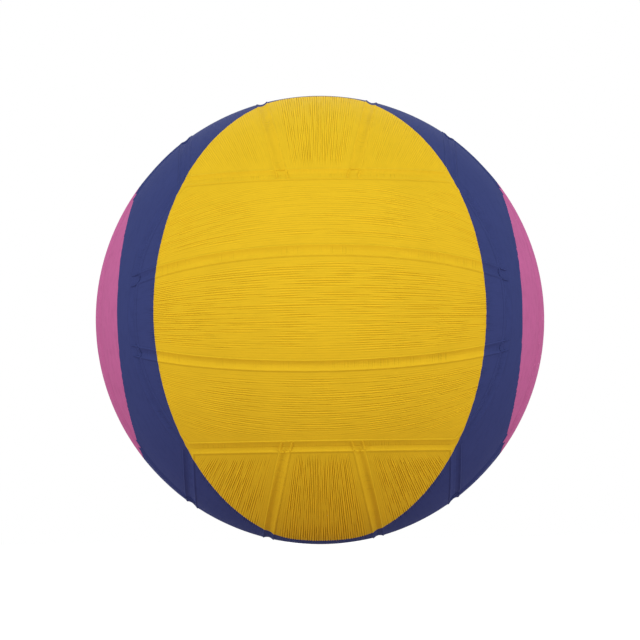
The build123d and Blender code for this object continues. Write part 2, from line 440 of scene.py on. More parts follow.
def groove_relief(cover, generator, row_numbers, columns, margin):
    """How far grooves sink and ridges rise, and how far each row strays, for a grid of rows and columns."""
    groove_index = np.round(row_numbers / ROWS_PER_GROOVE).astype(int)
    count = groove_index.max() + 1
    strokes = line_noise(generator, count, columns, cover.groove_stroke)
    swells = line_noise(generator, count, columns, SWELL_STROKES * cover.groove_stroke)
    strength = np.clip(STROKE_CONTRAST * (strokes - STROKE_GAP), 0.0, 1.0)
    strength = strength * (1 - SWELL_SHARE + SWELL_SHARE * swells)
    wander = (line_noise(generator, count, columns, WANDER_STROKES * cover.groove_stroke) - 0.5) * 2

    patch_rows = np.arange(count) * cover.groove_pitch
    knots = int(patch_rows.max() / cover.patch_size) + 2
    patches = line_noise(generator, knots, columns, cover.patch_size)
    knot_rows = np.arange(knots) * cover.patch_size
    patch_strength = np.array([np.interp(patch_rows, knot_rows, column) for column in patches.T]).T
    strength = strength * (1 - PATCH_SHARE + PATCH_SHARE * smooth_step(PATCH_CONTRAST * patch_strength))

    section = np.cos(2 * math.pi * row_numbers / ROWS_PER_GROOVE)
    fade = smooth_step(margin / cover.groove_fade)
    depths = cover.groove_depth * section[:, None] * strength[groove_index] * fade
    return depths, cover.groove_wander * wander[groove_index] * fade


def lean_rate(cover):
    """Lean of the plane of a row per latitude, by which rows fan out as the middle seams do."""
    return cover.middle_seam_tilt / cover.middle_strip_half_angle


def row_grid(cover, radius, latitudes, turns):
    """Points at turns along a face's rows of the given latitudes, on spheres of the given radius."""
    leans = lean_rate(cover) * latitudes
    rise = radius * np.sin(latitudes - leans)
    ring = radius * np.cos(latitudes - leans)
    outward = ring * np.cos(turns)
    along = ring * np.sin(turns)
    across = rise * np.cos(leans) + outward * np.sin(leans)
    out = outward * np.cos(leans) - rise * np.sin(leans)
    return np.stack(np.broadcast_arrays(along, across, out), axis=-1)


def row_place(cover, points):
    """Latitude of the row through each point, and turn along that row, found by rounds of correction."""
    rate = lean_rate(cover)
    along, across, out = points.T / np.linalg.norm(points, axis=1)
    latitude = np.arcsin(across)
    for _ in range(ROW_ROUNDS):
        lean = rate * latitude
        outward = across * np.sin(lean) + out * np.cos(lean)
        miss = across * np.cos(lean) - out * np.sin(lean) - np.sin(latitude - lean)
        latitude = latitude + miss / (rate * outward + (1 - rate) * np.cos(latitude - lean))
    return latitude, np.arctan2(along, outward)


def grid_faces(rows, columns):
    """Quads of a grid of points numbered row by row, facing out of the ball."""
    return [
        (r * columns + c, r * columns + c + 1, (r + 1) * columns + c + 1, (r + 1) * columns + c)
        for r in range(rows - 1)
        for c in range(columns - 1)
    ]


def grid_reach(cover, outline, row_step, column_step):
    """Latitudes of the rows, and turns of the columns, that cover an outline on the sphere."""
    steps = []
    for values, step in zip(row_place(cover, outline), (row_step, column_step)):
        first, last = math.floor(values.min() / step), math.ceil(values.max() / step)
        steps.append(np.arange(first - 1, last + 2) * step)
    return steps


def cut_faces(points, faces, values):
    """Cuts faces along the zero line of the points' values: points, faces above zero, faces below it."""
    values = np.where(np.abs(values) < CUT_SNAP, CUT_SNAP, values)
    above_zero = (values > 0).tolist()
    values = values.tolist()
    points = list(points)
    crossings = {}

    def crossing(a, b):
        key = (min(a, b), max(a, b))
        if key not in crossings:
            crossings[key] = len(points)
            points.append(points[a] + values[a] / (values[a] - values[b]) * (points[b] - points[a]))
        return crossings[key]

    above, below = [], []
    for polygon in faces:
        count = sum(above_zero[i] for i in polygon)
        if count == len(polygon):
            above.append(polygon)
        elif count == 0:
            below.append(polygon)
        else:
            parts = ([], [])
            for a, b in zip(polygon, polygon[1:] + polygon[:1]):
                parts[above_zero[a]].append(a)
                if above_zero[a] != above_zero[b]:
                    middle = crossing(a, b)
                    parts[0].append(middle)
                    parts[1].append(middle)
            below.append(tuple(parts[0]))
            above.append(tuple(parts[1]))
    return np.array(points), above, below


def cut_to_planes(points, faces, planes, offset):
    """The faces that lie inside all seam planes moved in by an offset, and their points."""
    for normal, reach in planes:
        points, faces, _ = cut_faces(points, faces, reach - offset - points @ normal)
    return points, faces


def rim_loops(faces):
    """Loops of point numbers along the open edges of faces, with the faces on the left."""
    edges = set()
    for polygon in faces:
        edges.update(zip(polygon, polygon[1:] + polygon[:1]))
    follows = {a: b for a, b in sorted(edges) if (b, a) not in edges}
    loops = []
    while follows:
        start = min(follows)
        loop = [start]
        here = follows.pop(start)
        while here != start:
            loop.append(here)
            here = follows.pop(here)
        loops.append(loop)
    return loops


def lace(first, second, points):
    """Triangles between two loops that run the same way round, the second outside or under the first."""
    gaps = np.linalg.norm(points[second] - points[first[0]], axis=1)
    start = int(gaps.argmin())
    first = first + first[:1]
    second = second[start:] + second[: start + 1]
    i = j = 0
    triangles = []
    while i < len(first) - 1 or j < len(second) - 1:
        a, b = first[i], second[j]
        if i == len(first) - 1:
            step_first = False
        elif j == len(second) - 1:
            step_first = True
        else:
            ahead = points[first[i + 1]] - points[b]
            beside = points[second[j + 1]] - points[a]
            step_first = ahead @ ahead <= beside @ beside
        if step_first:
            i += 1
            triangles.append((a, b, first[i]))
        else:
            j += 1
            triangles.append((a, b, second[j]))
    return triangles


def ring_faces(ring, next_ring):
    """Quads between two loops of as many points, the second outside or under the first."""
    count = len(ring)
    return [
        (ring[i], next_ring[i], next_ring[(i + 1) % count], ring[(i + 1) % count]) for i in range(count)
    ]


def strip_surface(cover, valve, face, place, planes):
    """Outer surface of a strip in its face's frame: grooved field, lips, and channel floors to the seams."""
    radius = cover.ball_radius
    offsets, depths = lip_profile(cover)
    field_radius = radius - cover.lip_height
    stations = seam_stations(planes, offsets[0], field_radius, STATION_STEP)
    loops = [seam_loop(planes, stations, offset, radius - depth) for offset, depth in zip(offsets, depths)]
    close_corners(loops[-1])

    row_step = cover.groove_pitch / ROWS_PER_GROOVE / radius
    rows, columns = grid_reach(cover, loops[0], row_step, COLUMN_STEP / radius)
    flat = row_grid(cover, radius, rows[:, None], columns[None, :])
    spots = flat.reshape(-1, 3)
    margin = seam_distances(planes, spots).min(axis=0) - offsets[0]
    margin = np.minimum(margin, zone_reach(cover, face, spots) + cover.groove_fade)
    if (face, place) == VALVE_STRIP:
        margin = np.minimum(margin, np.hypot(spots[:, 0], spots[:, 1]) - valve.pad_radius)
    margin = margin.reshape(flat.shape[:2])
    generator = np.random.default_rng(10 * list(FACES).index(face) + place + 1)
    sunk, strays = groove_relief(cover, generator, np.arange(len(rows)), columns * radius, margin)
    field_radii = field_radius - GROOVING[face][place + 1] * sunk
    field = row_grid(cover, field_radii, rows[:, None] + strays / radius, columns[None, :])

    faces = grid_faces(len(rows), len(columns))
    points, faces = cut_to_planes(field.reshape(-1, 3), faces, planes, offsets[0] + LACING_GAP)
    (field_rim,) = rim_loops(faces)

    first = len(points)
    count = len(loops[0])
    points = np.vstack([points, *loops])
    rings = [list(range(first + k * count, first + (k + 1) * count)) for k in range(len(loops))]
    faces = faces + lace(field_rim, rings[0], points)
    for ring, next_ring in zip(rings, rings[1:]):
        faces = faces + ring_faces(ring, next_ring)
    return points, faces


def strip_underside(cover, planes):
    """Inner surface of a strip in its face's frame, still facing out."""
    radius = COAT_RADIUS + cover.bond_line
    seam = cover.bond_line / 2
    outline = seam_loop(planes, seam_stations(planes, seam, radius, STATION_STEP), seam, radius)
    step = UNDERSIDE_STEP / radius
    rows, columns = grid_reach(cover, outline, step, step)
    points = row_grid(cover, radius, rows[:, None], columns[None, :]).reshape(-1, 3)
    return cut_to_planes(points, grid_faces(len(rows), len(columns)), planes, seam)


def rib(cover, path):
    """A thin rib along a path: points, faces, and which points are its feet."""
    onward = unit(path[-1] - path[0])
    points, rings = [], []
    for step, point in enumerate(path):
        outward = unit(point)
        sideways = np.cross(onward, outward)
        size = cover.rib_radius * (1 if 0 < step < len(path) - 1 else RIB_END_SIZE)
        rings.append(list(range(len(points), len(points) + len(RIB_TURNS))))
        for turn in RIB_TURNS:
            lift = RIB_HEIGHT * math.sin(turn) - RIB_SINK
            points.append(point + size * (math.cos(turn) * sideways + lift * outward))
    faces = [tuple(rings[0]), tuple(reversed(rings[-1]))]
    for ring, next_ring in zip(rings, rings[1:]):
        faces += [quad[::-1] for quad in ring_faces(ring, next_ring)]
    return np.array(points), faces, np.tile(np.sin(RIB_TURNS) < RIB_FOOT_HEIGHT, len(path))


def junction_ribs(cover, planes, place):
    """The ribs where a strip's channels meet those of the next face."""
    crest = cover.channel_width / 2
    corners = {0: (0, 1, 2, 3), 1: (2, 3), -1: (0, 1)}[place]
    across_end = [(offset, crest) for offset in crest * RIB_ACROSS_END]
    across_mouth = [(crest, offset) for offset in crest * RIB_ACROSS_MOUTH]
    for corner in corners:
        for offsets in (across_end, across_mouth):
            path = []
            for end_offset, side_offset in offsets:
                pair = (end_offset, side_offset) if corner in (0, 2) else (side_offset, end_offset)
                radius = cover.ball_radius - channel_fall(cover, min(end_offset, side_offset))
                path.append(corner_point(planes, corner, *pair, radius))
            yield rib(cover, path)


# Colour zones


def yellow_reach(cover, side, points):
    """Distance inside the yellow of the front (-1) or back (1), below zero outside it."""
    radius = cover.ball_radius
    end = radius * np.array([math.sin(cover.yellow_end_half_angle), math.sin(cover.pole_band_half_angle)])
    wide = radius * np.array([math.sin(cover.yellow_half_angle), math.cos(cover.yellow_half_angle)])
    along = unit(wide - end)
    inward = np.array([-along[1], along[0]])
    flat = np.stack([np.abs(points[:, 0]), side * points[:, 1]], axis=1)
    slant = (flat - end) @ inward
    band = flat[:, 1] - end[1]
    rounding = cover.yellow_corner_radius
    centre = end + rounding * np.array([(along[0] - 1) / along[1], 1.0])
    from_centre = flat - centre
    slant_share = from_centre[:, 0] / along[1]
    band_share = -from_centre[:, 1] - slant_share * along[0]
    in_corner = (slant_share > 0) & (band_share > 0)
    return np.where(in_corner, rounding - np.linalg.norm(from_centre, axis=1), np.minimum(slant, band))


def pink_reach(cover, points):
    """Distance inside the pink oval of a side face, below zero outside it."""
    across = cover.ball_radius * math.sin(cover.pink_half_angle_across)
    upright = cover.ball_radius * math.sin(cover.pink_half_angle_upright)
    return (1 - np.hypot(points[:, 1] / across, points[:, 2] / upright)) * across


def edge_drift(cover, points):
    """How far a colour's edge lies off its line: a fine wander, and a run-on along channel floors."""
    depth = cover.ball_radius - np.linalg.norm(points, axis=1)
    waves = np.zeros(len(points))
    for size, direction in EDGE_WAVES:
        waves += np.sin(points @ unit(np.array(direction, float)) * 2 * math.pi / size)
    return EDGE_WAVE_HEIGHT * waves + cover.colour_bleed * smooth_step(depth / cover.channel_depth)


def face_zones(face):
    """Colour zones that meet a face, as (region, tone, reach function of cover and points)."""
    def front(cover, points):
        return yellow_reach(cover, -1, points)

    def rear(cover, points):
        return yellow_reach(cover, 1, points)

    if face == "front":
        return [("yellow", "yellow", front)]
    if face == "back":
        return [("yellow", "yellow", rear)]
    if face in ("top", "bottom"):
        return [("yellow_front", "yellow", front), ("yellow_rear", "yellow", rear)]
    return [("pink", "pink", pink_reach), ("blue", "yellow", front), ("blue", "yellow", rear)]


def zone_reach(cover, face, points):
    """Distance of points in a face's frame inside its yellow or pink, below zero on its blue."""
    placed = points @ face_axes(face)
    return np.max([reach(cover, placed) for *_, reach in face_zones(face)], axis=0)


def piece_name(face, strip, region, point):
    """Name of the piece that holds a region of a strip."""
    name = f"{face}_{strip}_{region}"
    if region == "blue" and face in ("front", "back"):
        name += "_left" if point[0] < 0 else "_right"
    if region == "blue" and face in ("left", "right") and strip == "middle":
        name += "_lower" if point[2] < 0 else "_upper"
    return name


def coloured_faces(cover, face, strip, points, faces, drifts):
    """Cuts a strip's faces at its colour edges: points, and {piece: [(polygon, tone)]}."""
    pieces = {}

    def keep(region, tone, kept):
        for polygon in kept:
            name = piece_name(face, strip, region, points[polygon[0]])
            pieces.setdefault(name, []).append((polygon, tone))

    rest = faces
    for region, tone, reach in face_zones(face):
        values = reach(cover, points)
        if drifts:
            values = values + edge_drift(cover, points) - (cover.yellow_inset if tone == "yellow" else 0.0)
        points, inside, rest = cut_faces(points, rest, values)
        keep(region, tone, inside)
    keep("blue", "blue", rest)
    return points, pieces


def bored_faces(points, faces, radius):
    """Opens faces round the valve's axis: points, and the faces beyond the radius."""
    from_axis = np.hypot(points[:, 0], points[:, 2])
    points, outside, _ = cut_faces(points, faces, from_axis - radius)
    return points, outside


def valve_hole(valve, hole, points, tagged):
    """Opens the cover over the valve and rounds the hole's rim."""
    tone = tagged[0][1]
    points, outside = bored_faces(points, [polygon for polygon, _ in tagged], hole + valve.rim_radius)
    tagged = [(polygon, tone) for polygon in outside]
    ring = min(rim_loops(outside), key=len)
    around = np.array([unit(points[i] * (1, 0, 1)) for i in ring])
    height = np.array([points[i][1] for i in ring])
    for turn in np.linspace(0, math.pi / 2, RIM_STEPS + 1)[1:]:
        reach = hole + valve.rim_radius * (1 - math.sin(turn))
        sunk = height - valve.rim_radius * (1 - math.cos(turn))
        added = around * reach + np.outer(sunk, (0, 1, 0))
        next_ring = list(range(len(points), len(points) + len(ring)))
        points = np.vstack([points, added])
        tagged += [(quad, tone) for quad in ring_faces(ring, next_ring)]
        ring = next_ring
    return points, tagged


def closed_piece(points, tagged, under_points, under_faces):
    """Joins a piece's outer and inner faces with walls: points, faces and tones."""
    faces = [polygon for polygon, _ in tagged]
    tones = [tone for _, tone in tagged]
    wall_tone = max(sorted(set(tones)), key=tones.count)
    shift = len(points)
    points = np.vstack([points, under_points])
    under_faces = [tuple(i + shift for i in polygon) for polygon in under_faces]
    under_loops = rim_loops(under_faces)
    for loop in rim_loops(faces):
        centre = points[loop].mean(axis=0)
        nearest = min(under_loops, key=lambda other: np.linalg.norm(points[other].mean(axis=0) - centre))
        walls = lace(loop, nearest, points)
        faces += walls
        tones += [wall_tone] * len(walls)
    faces += [polygon[::-1] for polygon in under_faces]
    tones += [wall_tone] * len(under_faces)
    return points, faces, tones


# Materials


def new_node(tree, kind, inputs=None, **settings):
    """Adds a node with its settings and the values of its unlinked inputs."""
    made = tree.nodes.new(kind)
    for name, value in settings.items():
        setattr(made, name, value)
    for name, value in (inputs or {}).items():
        made.inputs[name].default_value = value
    return made


def new_material(name):
    """A material with nothing but its shader and output: material, node tree, shader."""
    material = bpy.data.materials.new(name)
    material.use_nodes = True
    tree = material.node_tree
    return material, tree, tree.nodes["Principled BSDF"]


def tone_ramp(tree, factor, colour_value, low, high):
    """Colours from low to high times a base colour, as factor goes through most noise values."""
    ramp = new_node(tree, "ShaderNodeValToRGB")
    for element, place, share in zip(ramp.color_ramp.elements, NOISE_SPAN, (low, high)):
        element.position = place
        element.color = (*(min(1.0, channel * share) for channel in colour_value), 1.0)
    tree.links.new(factor, ramp.inputs["Fac"])
    return ramp.outputs["Color"]


def scaled(tree, vector, scale):
    """A vector output times a scale along each axis."""
    mapping = new_node(tree, "ShaderNodeMapping", {"Scale": scale})
    tree.links.new(vector, mapping.inputs["Vector"])
    return mapping.outputs["Vector"]


def noise(tree, vector, scale, detail):
    """Noise over a vector output."""
    made = new_node(tree, "ShaderNodeTexNoise", {"Scale": scale, "Detail": detail})
    tree.links.new(vector, made.inputs["Vector"])
    return made.outputs["Fac"]


def ranged(tree, value, source, target):
    """A value moved from one range to another and held inside it."""
    made = new_node(
        tree,
        "ShaderNodeMapRange",
        {"From Min": source[0], "From Max": source[1], "To Min": target[0], "To Max": target[1]},
    )
    tree.links.new(value, made.inputs["Value"])
    return made.outputs["Result"]


def combined(tree, operation, first, second):
    """Two values put together by a math operation."""
    made = new_node(tree, "ShaderNodeMath", operation=operation)
    tree.links.new(first, made.inputs[0])
    tree.links.new(second, made.inputs[1])
    return made.outputs["Value"]


def bumped(tree, height, distance, strength, normal=None):
    """A bump from a height, on top of an earlier one if there is one."""
    bump = new_node(tree, "ShaderNodeBump", {"Strength": strength, "Distance": distance})
    tree.links.new(height, bump.inputs["Height"])
    if normal:
        tree.links.new(normal, bump.inputs["Normal"])
    return bump.outputs["Normal"]


def attribute(tree, name, output="Fac"):
    """An output of a value that the mesh stores for each point."""
    return new_node(tree, "ShaderNodeAttribute", attribute_name=name).outputs[output]


def channel_ticks(tree, place):
    """Faint ribs across the channel floors, in groups, for their bump and their painted shade: 0 to 1."""
    marks = new_node(tree, "ShaderNodeTexNoise", {"Scale": 1300.0, "Detail": 1.0}, noise_dimensions="1D")
    tree.links.new(attribute(tree, "run"), marks.inputs["W"])
    ticks = ranged(tree, marks.outputs["Fac"], TICK_SPAN, WHOLE)
    groups = ranged(tree, noise(tree, place, scale=45, detail=1.0), TICK_GROUP_SPAN, WHOLE)
    for share in (attribute(tree, "marked"), groups):
        ticks = combined(tree, "MULTIPLY", ticks, share)
    return ticks


def cover_rubber(name, colour_value, ridge, dip, fleck):
    """Moulded rubber: dull, mottled, with painted highlights on its ridges, painted shade in its grooves and
    creases, and faint marks of painted shade across channels.
    """
    material, tree, shader = new_material(name)
    place = attribute(tree, "strip_place", "Vector")
    mottle = tone_ramp(tree, noise(tree, place, scale=55, detail=3.0), colour_value, low=0.98, high=1.02)
    strokes = noise(tree, scaled(tree, place, STROKE_STRETCH), scale=1100, detail=2.0)
    flecks = noise(tree, scaled(tree, place, FLECK_STRETCH), scale=420, detail=2.0)
    ticks = channel_ticks(tree, place)

    # Painted highlight on the ridges and painted shade in the grooves, by depth under the field
    shade = ranged(tree, attribute(tree, "groove"), GROOVE_SPAN, (ridge, dip))
    for share in (
        # Painted shade in the creases beside the channels and at the feet of ribs
        ranged(tree, attribute(tree, "crease"), PAINTED_CREASE_SHADE_SPAN, PAINTED_CREASE_SHADE_LEVELS),
        ranged(tree, strokes, NOISE_SPAN, STROKE_SHADE),
        # Painted shade of the fine ribs across channel floors
        ranged(tree, ticks, WHOLE, TICK_SHADE),
        ranged(tree, flecks, FLECK_SPAN, (1.0, fleck)),
    ):
        shade = combined(tree, "MULTIPLY", shade, share)
    mix = new_node(tree, "ShaderNodeMix", data_type="RGBA", blend_type="MULTIPLY")
    mix.inputs[MIX_FACTOR].default_value = 1.0
    tree.links.new(mottle, mix.inputs[MIX_A])
    tree.links.new(shade, mix.inputs[MIX_B])
    tree.links.new(mix.outputs[MIX_RESULT], shader.inputs["Base Color"])
    tree.links.new(ranged(tree, strokes, NOISE_SPAN, STROKE_ROUGHNESS), shader.inputs["Roughness"])
    shader.inputs["Specular IOR Level"].default_value = 0.02

    normal = bumped(tree, ticks, distance=-0.1 * MM, strength=0.8)
    normal = bumped(tree, strokes, distance=0.05 * MM, strength=0.6, normal=normal)
    pores = noise(tree, place, scale=2600, detail=2.0)
    normal = bumped(tree, pores, distance=0.02 * MM, strength=0.5, normal=normal)
    tree.links.new(normal, shader.inputs["Normal"])
    return material


def cover_materials(context):
    """The three cover rubbers, made once."""
    found = {}
    for tone, shares in COVER_PAINTED_LIGHT_AND_FLECKS.items():
        name = f"cover_rubber_{tone}"
        value = tuple(getattr(context.scene.ball_colours, tone))
        found[tone] = bpy.data.materials.get(name) or cover_rubber(name, value, *shares)
    return found


def plain_rubber(name, colour_value, roughness, grain, spread=0.08):
    """Dull rubber of one colour with a fine grain, whose roughness varies by spread either way."""
    material, tree, shader = new_material(name)
    place = new_node(tree, "ShaderNodeTexCoord").outputs["Object"]
    mottle = tone_ramp(tree, noise(tree, place, scale=90, detail=4.0), colour_value, low=0.8, high=1.2)
    tree.links.new(mottle, shader.inputs["Base Color"])
    fine = noise(tree, place, scale=grain, detail=3.0)
    rough = ranged(tree, fine, NOISE_SPAN, (roughness - spread, roughness + spread))
    tree.links.new(rough, shader.inputs["Roughness"])
    tree.links.new(bumped(tree, fine, distance=0.04 * MM, strength=0.5), shader.inputs["Normal"])
    shader.inputs["Specular IOR Level"].default_value = 0.4
    return material


def wound_thread(name, colour_value):
    """Nylon thread wound over the bladder in crossing directions."""
    material, tree, shader = new_material(name)
    place = new_node(tree, "ShaderNodeTexCoord").outputs["Object"]
    bands = []
    for turn in THREAD_TURNS:
        mapping = new_node(tree, "ShaderNodeMapping", {"Rotation": (turn, THREAD_LEAN * turn, turn)})
        tree.links.new(place, mapping.inputs["Vector"])
        wave = new_node(tree, "ShaderNodeTexWave", {"Scale": 420.0, "Distortion": 2.0, "Detail": 1.0})
        tree.links.new(mapping.outputs["Vector"], wave.inputs["Vector"])
        bands.append(wave.outputs["Fac"])
    threads = combined(tree, "MAXIMUM", *bands)
    tree.links.new(tone_ramp(tree, threads, colour_value, low=0.55, high=1.05), shader.inputs["Base Color"])
    tree.links.new(ranged(tree, threads, WHOLE, THREAD_ROUGHNESS), shader.inputs["Roughness"])
    tree.links.new(bumped(tree, threads, distance=0.2 * MM, strength=0.7), shader.inputs["Normal"])
    return material


# Pieces


def mesh_piece(name, points, faces, body):
    """A new object on a body, in place of the CAD node of its name: object, and the points that it uses."""
    used = sorted({i for polygon in faces for i in polygon})
    numbers = {old: new for new, old in enumerate(used)}
    mesh = bpy.data.meshes.new(name)
    mesh.from_pydata(points[used].tolist(), [], [[numbers[i] for i in polygon] for polygon in faces])
    if mesh.validate():
        raise RuntimeError(f"{name}: the mesh had faults")
    mesh.shade_smooth()
    mesh.set_sharp_from_angle(angle=SMOOTH_ANGLE)
    piece = bpy.data.objects.new(name + "_looks", mesh)
    bpy.context.scene.collection.objects.link(piece)
    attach(piece, body)
    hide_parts(name)
    return piece, points[used]


def point_attribute(mesh, name, kind, values):
    """Stores a value for each point of a mesh."""
    stored = mesh.attributes.new(name, kind, "POINT")
    field = "vector" if kind == "FLOAT_VECTOR" else "value"
    stored.data.foreach_set(field, values.astype(np.float32).ravel())


def cover_piece(cover, face, planes, name, points, faces, tones, feet, materials):
    """A piece of the cover with its materials and what they read; feet tells the feet among its ribs."""
    tone_order = sorted(set(tones), key=lambda tone: tone not in name)
    piece, placed = mesh_piece(name, points, faces, "ball")
    mesh = piece.data
    for tone in tone_order:
        mesh.materials.append(materials[tone])
    mesh.polygons.foreach_set("material_index", [tone_order.index(tone) for tone in tones])

    axes = face_axes(face)
    local = placed @ axes.T
    depth = cover.ball_radius - np.linalg.norm(placed, axis=1)
    latitude, turn = row_place(cover, local)
    margins = seam_distances(planes, local)
    margin, next_margin = np.sort(margins, axis=0)[:2]
    field_edge = lip_profile(cover)[0][0]
    along, across = (np.abs(axes[k]).argmax() for k in (0, 1))
    run = np.where(margins.argmin(axis=0) % 2 == 0, placed[:, across], placed[:, along])
    groove = np.where(margin > field_edge, (depth - cover.lip_height) / cover.groove_depth, 0.0)
    floor = smooth_step(channel_fall(cover, margin) / cover.channel_depth)
    # Strength of the painted shade in the creases at the field's edge and at the feet of ribs
    crease = CREASE_PAINTED_SHADE[face] * np.clip(1 - np.abs(margin - field_edge) / LACING_GAP, 0.0, 1.0)
    crease[len(crease) - len(feet):] = RIB_FOOT_PAINTED_SHADE * np.array(feet, float)

    strip_place = np.stack([turn * cover.ball_radius, latitude * cover.ball_radius, depth], axis=1)
    marked = floor * smooth_step(next_margin / cover.channel_width - TICK_START)
    point_attribute(mesh, "strip_place", "FLOAT_VECTOR", strip_place)
    point_attribute(mesh, "groove", "FLOAT", np.clip(groove, *GROOVE_SPAN))
    point_attribute(mesh, "crease", "FLOAT", crease)
    point_attribute(mesh, "run", "FLOAT", run)
    point_attribute(mesh, "marked", "FLOAT", marked)


def strip_ribs(cover, face, place, planes):
    """A strip's ribs by the name of the piece that holds them, as (points, faces, feet, tone)."""
    ribs = {}
    for points, faces, feet in junction_ribs(cover, planes, place):
        placed = points @ face_axes(face)
        middle = placed.mean(axis=0, keepdims=True)
        inside = [(region, tone) for region, tone, reach in face_zones(face) if reach(cover, middle)[0] > 0]
        region, tone = inside[0] if inside else ("blue", "blue")
        name = piece_name(face, STRIPS[face][place + 1], region, middle[0])
        ribs.setdefault(name, []).append((placed, faces, feet, tone))
    return ribs


def build_strip(context, face, place):
    """All the pieces of one strip of the cover."""
    cover = context.scene.ball_cover
    valve = context.scene.ball_valve
    materials = cover_materials(context)
    strip = STRIPS[face][place + 1]
    axes = face_axes(face)
    planes = seam_planes(cover, place)
    hole = PLUG_HIGH.x + valve.hole_clearance

    points, faces = strip_surface(cover, valve, face, place, planes)
    points, pieces = coloured_faces(cover, face, strip, points @ axes, faces, True)
    under_points, under_faces = strip_underside(cover, planes)
    under_points, under_pieces = coloured_faces(cover, face, strip, under_points @ axes, under_faces, False)
    ribs = strip_ribs(cover, face, place, planes)

    for name, tagged in pieces.items():
        outer_points = points
        inner_points, inner_faces = under_points, [polygon for polygon, _ in under_pieces[name]]
        if (face, place) == VALVE_STRIP and name.endswith("yellow"):
            outer_points, tagged = valve_hole(valve, hole, points, tagged)
            inner_points, inner_faces = bored_faces(under_points, inner_faces, hole)
        all_points, all_faces, tones = closed_piece(outer_points, tagged, inner_points, inner_faces)
        feet = []
        for rib_points, rib_faces, rib_feet, tone in ribs.get(name, []):
            shift = len(all_points)
            feet += list(rib_feet)
            all_points = np.vstack([all_points, rib_points])
            all_faces += [tuple(i + shift for i in polygon) for polygon in rib_faces]
            tones += [tone] * len(rib_faces)
        cover_piece(cover, face, planes, name, all_points, all_faces, tones, feet, materials)


def build_faces(context, *faces):
    """All the strips of some faces of the cover."""
    for face in faces:
        for place in PLACES:
            build_strip(context, face, place)


def dress(node, material):
    """Gives a CAD node a material in place of its packed one."""
    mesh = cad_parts[node].data
    mesh.materials.clear()
    mesh.materials.append(material)


def arc(centre, radius, start, end, steps):
    """Points on an arc from start to end, in degrees."""
    turns = np.radians(np.linspace(start, end, steps + 1))
    return [(centre[0] + radius * math.cos(t), centre[1] + radius * math.sin(t)) for t in turns]


def plug_profile(valve):
    """Outline of the plug as (radius, height) from the end of its bore, over the head and down the stem."""
    seat = MOUTH_LEVEL - valve.seat_depth
    head = PLUG_HIGH.x
    bore_end = PLUG_LOW.y + valve.needle_lip
    mouth = valve.needle_radius + valve.needle_mouth
    rounding = valve.head_rounding
    edge = head - rounding

    def dome_height(reach):
        return math.sqrt(PLUG_HIGH.y**2 - reach**2)

    outline = [(0.0, bore_end), (valve.needle_radius, bore_end)]
    mouth_centre = (mouth, dome_height(mouth) - valve.needle_mouth)
    outline += arc(mouth_centre, valve.needle_mouth, 180, 90, PLUG_MOUTH_STEPS)
    outline += [(reach, dome_height(reach)) for reach in np.linspace(mouth, edge, PLUG_DOME_POINTS)[1:-1]]
    outline += arc((edge, dome_height(edge) - rounding), rounding, 90, 0, PLUG_EDGE_STEPS)
    outline += [(head, seat), (valve.stem_radius, seat)]
    pitch = (seat - PLUG_LOW.y) / (valve.groove_count + 1)
    for groove in range(valve.groove_count):
        middle = seat - (groove + 1) * pitch
        for share in np.linspace(-1, 1, PLUG_GROOVE_POINTS):
            depth = valve.groove_depth * smooth_step(2 * (1 - abs(share)))
            outline.append((valve.stem_radius - float(depth), middle - share * valve.groove_width / 2))
    outline += [(valve.stem_radius, PLUG_LOW.y + valve.end_chamfer)]
    outline += [(valve.stem_radius - valve.end_chamfer, PLUG_LOW.y), (0.0, PLUG_LOW.y)]
    return outline


def turned(outline, segments):
    """Points and faces of an outline turned about the Y axis, closed where it meets the axis."""
    points, faces, rings = [], [], []
    for reach, height in outline:
        turns = np.linspace(0, 2 * math.pi, segments, endpoint=False) if reach > 0 else [0.0]
        rings.append(list(range(len(points), len(points) + len(turns))))
        points += [(reach * math.sin(t), height, reach * math.cos(t)) for t in turns]
    for ring, next_ring in zip(rings, rings[1:]):
        if len(ring) == 1:
            faces += [(ring[0], next_ring[i], next_ring[(i + 1) % segments]) for i in range(segments)]
        elif len(next_ring) == 1:
            faces += [(ring[i], next_ring[0], ring[(i + 1) % segments]) for i in range(segments)]
        else:
            faces += ring_faces(ring, next_ring)
    return np.array(points), faces


# Studio


def lamp(studio, name, brightness, azimuth, height, size):
    """A square lamp that faces the ball and gives that brightness on a surface that faces it."""
    light = bpy.data.lights.new(name, "AREA")
    light.shape = "SQUARE"
    light.size = size
    light.energy = brightness * math.pi**2 * studio.lamp_distance**2
    item = bpy.data.objects.new(name, light)
    bpy.context.scene.collection.objects.link(item)
    reach = math.cos(height)
    away = Vector((math.sin(azimuth) * reach, -math.cos(azimuth) * reach, math.sin(height)))
    item.location = away * studio.lamp_distance
    item.rotation_euler = away.to_track_quat("Z", "Y").to_euler()


def background_ray(tree):
    """1 for rays that show the background: from the camera, in reflections and through glass."""
    path = new_node(tree, "ShaderNodeLightPath")
    seen = combined(tree, "MAXIMUM", path.outputs["Is Camera Ray"], path.outputs["Is Glossy Ray"])
    return combined(tree, "MAXIMUM", seen, path.outputs["Is Transmission Ray"])


def seen_or_lit(tree, lit, seen, output):
    """Sends one shader to the rays that show the background, and the other to those that light the ball."""
    mix = new_node(tree, "ShaderNodeMixShader")
    tree.links.new(background_ray(tree), mix.inputs[0])
    tree.links.new(lit, mix.inputs[1])
    tree.links.new(seen, mix.inputs[2])
    tree.links.new(mix.outputs[0], tree.nodes[output].inputs["Surface"])


def lifted_diffuse(tree, tone, light, strength):
    """A dull surface of one tone with a light of its own added: shader output."""
    dull = new_node(tree, "ShaderNodeBsdfDiffuse", {"Color": tone})
    lift = new_node(tree, "ShaderNodeEmission", {"Color": light, "Strength": strength})
    both = new_node(tree, "ShaderNodeAddShader")
    tree.links.new(dull.outputs[0], both.inputs[0])
    tree.links.new(lift.outputs[0], both.inputs[1])
    return both.outputs[0]


